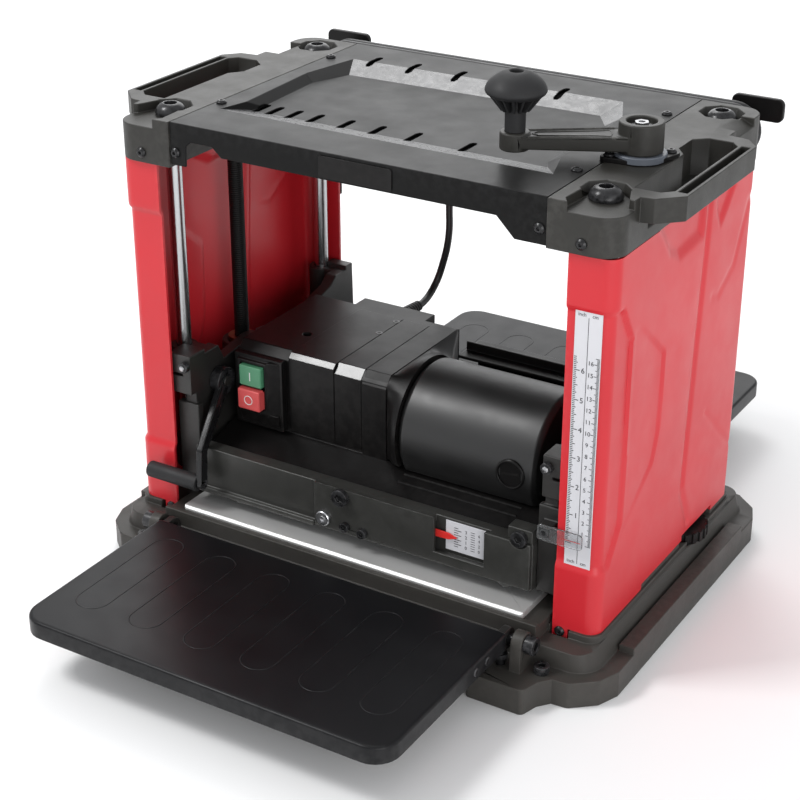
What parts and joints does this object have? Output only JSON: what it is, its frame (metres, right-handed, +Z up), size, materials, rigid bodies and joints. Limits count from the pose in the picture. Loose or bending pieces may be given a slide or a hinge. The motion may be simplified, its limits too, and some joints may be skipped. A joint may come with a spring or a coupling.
{
  "type": "thickness planer",
  "caption": "Bench thickness planer: red side covers, tray top with crank, folding infeed and outfeed tables, and a motor carriage that lifts on screws.",
  "frame": {"origin": "bottom centre of the base, midway between the feet", "axes": "+X to the crank side, +Y in the feed direction, +Z up"},
  "size_m": [0.528, 0.7512, 0.484],
  "materials": {
    "cast_grey": "textured satin paint",
    "bed_steel": "polished",
    "chrome": "polished",
    "cover_red": "semi-gloss moulded",
    "tray_black": "satin powder coat",
    "bracket_steel": "satin",
    "black_fastener": "black oxide",
    "zinc": "zinc plated",
    "steel": "oiled black steel",
    "cutter_steel": "machined",
    "copper_steel": "wound",
    "brass": "machined",
    "housing_black": "fine-textured moulded",
    "rubber": "matt",
    "label_white": "printed",
    "clear": "clear moulded",
    "button_green": "semi-gloss",
    "button_red": "semi-gloss"
  },
  "bodies": {
    "frame": {"base_casting": "cast_grey", "bed_plate": "bed_steel", "guide_columns": "chrome", "cover_left": "cover_red", "cover_right": "cover_red", "cap_left": "cast_grey", "cap_right": "cast_grey", "top_tray": "tray_black", "name_plate": "housing_black", "column_bolts": "black_fastener", "small_screws": "black_fastener", "crank_flange": "bracket_steel", "cord_hooks": "housing_black", "depth_scale": "label_white", "pivot_bolts": "black_fastener", "foot_bolts": "black_fastener", "level_stops": "bracket_steel", "sync_chain": "steel", "cord_lead": "rubber", "cord_hank": "rubber", "cord_tail": "rubber", "cord_plug": "rubber"},
    "carriage": {"carriage_left": "cast_grey", "carriage_right": "cast_grey", "lift_nuts": "brass", "front_beam": "cast_grey", "gauge_plate": "cast_grey", "carriage_bolts": "black_fastener", "motor_housing": "housing_black", "motor_can": "housing_black", "brush_caps": "housing_black", "chip_hood": "housing_black", "switch_box": "housing_black", "cursor": "clear", "thickness_label": "label_white", "cord_gland": "rubber", "drive_belt": "rubber"},
    "infeed": {"infeed_table": "tray_black", "infeed_brackets": "bracket_steel"},
    "outfeed": {"outfeed_table": "tray_black", "outfeed_brackets": "bracket_steel"},
    "crank": {"crank_arm": "housing_black", "crank_bolt": "zinc", "lead_screw_right": "steel", "sprocket_right": "steel"},
    "knob": {"crank_knob": "housing_black"},
    "left_screw": {"lead_screw_left": "steel", "sprocket_left": "steel"},
    "cutter": {"cutterhead": "cutter_steel", "knives": "cutter_steel"},
    "infeed_roller": {"roller_infeed": "rubber"},
    "outfeed_roller": {"roller_outfeed": "rubber"},
    "rotor": {"armature": "copper_steel"},
    "lever": {"lock_lever": "housing_black", "lever_grip": "rubber"},
    "start_button": {"green_button": "button_green"},
    "stop_button": {"red_button": "button_red"},
    "pointer": {"gauge_pointer": "button_red"},
    "turret": {"turret_knob": "cast_grey"}
  },
  "joints": [
    {"name": "crank_turn", "type": "hinge", "parent": "frame", "child": "crank", "pos_m": [0.197, -0.028, 0.43], "axis": [0, 0, -1], "range_deg": [-540, 26640]},
    {"name": "carriage_lift", "type": "slide", "parent": "frame", "child": "carriage", "axis": [0, 0, 1], "range_m": [-0.003, 0.148]},
    {"name": "left_screw_turn", "type": "hinge", "parent": "frame", "child": "left_screw", "pos_m": [-0.197, -0.028, 0.2], "axis": [0, 0, -1], "range_deg": [-540, 26640]},
    {"name": "knob_spin", "type": "hinge", "parent": "crank", "child": "knob", "pos_m": [0.11104, -0.07506, 0.46], "axis": [0, 0, 1], "continuous": true},
    {"name": "infeed_fold", "type": "hinge", "parent": "frame", "child": "infeed", "pos_m": [0, -0.18, 0.047], "axis": [1, 0, 0], "range_deg": [-90, 0]},
    {"name": "outfeed_fold", "type": "hinge", "parent": "frame", "child": "outfeed", "pos_m": [0, 0.18, 0.047], "axis": [1, 0, 0], "range_deg": [0, 90]},
    {"name": "cutter_spin", "type": "hinge", "parent": "carriage", "child": "cutter", "pos_m": [0, 0.008, 0.086], "axis": [1, 0, 0], "continuous": true},
    {"name": "infeed_roller_spin", "type": "hinge", "parent": "carriage", "child": "infeed_roller", "pos_m": [0, -0.06, 0.073], "axis": [1, 0, 0], "continuous": true},
    {"name": "outfeed_roller_spin", "type": "hinge", "parent": "carriage", "child": "outfeed_roller", "pos_m": [0, 0.066, 0.073], "axis": [1, 0, 0], "continuous": true},
    {"name": "rotor_spin", "type": "hinge", "parent": "carriage", "child": "rotor", "pos_m": [0, -0.04, 0.146], "axis": [1, 0, 0], "continuous": true},
    {"name": "lock_lever_swing", "type": "hinge", "parent": "carriage", "child": "lever", "pos_m": [-0.17, -0.096, 0.16], "axis": [-1, 0, 0], "range_deg": [0, 55]},
    {"name": "start_press", "type": "slide", "parent": "carriage", "child": "start_button", "axis": [0, 1, 0], "range_m": [0, 0.003], "stiffness_N_per_m": 800, "springref_m": -0.001},
    {"name": "stop_press", "type": "slide", "parent": "carriage", "child": "stop_button", "axis": [0, 1, 0], "range_m": [0, 0.003], "stiffness_N_per_m": 800, "springref_m": -0.001},
    {"name": "pointer_swing", "type": "hinge", "parent": "carriage", "child": "pointer", "pos_m": [0.07, -0.137, 0.096], "axis": [0, 1, 0], "range_deg": [-9, 9], "stiffness_Nm_per_rad": 0.002},
    {"name": "turret_turn", "type": "hinge", "parent": "frame", "child": "turret", "pos_m": [0.214, 0.062, 0.041], "axis": [0, 0, 1], "continuous": true}
  ],
  "couplings": [
    {"joint": "crank_turn", "follows": "carriage_lift", "rad_per_m": 3141.6},
    {"joint": "left_screw_turn", "follows": "carriage_lift", "rad_per_m": 3141.6},
    {"joint": "infeed_roller_spin", "follows": "cutter_spin", "ratio": -0.04},
    {"joint": "outfeed_roller_spin", "follows": "cutter_spin", "ratio": -0.04},
    {"joint": "rotor_spin", "follows": "cutter_spin", "ratio": 1.4}
  ]
}
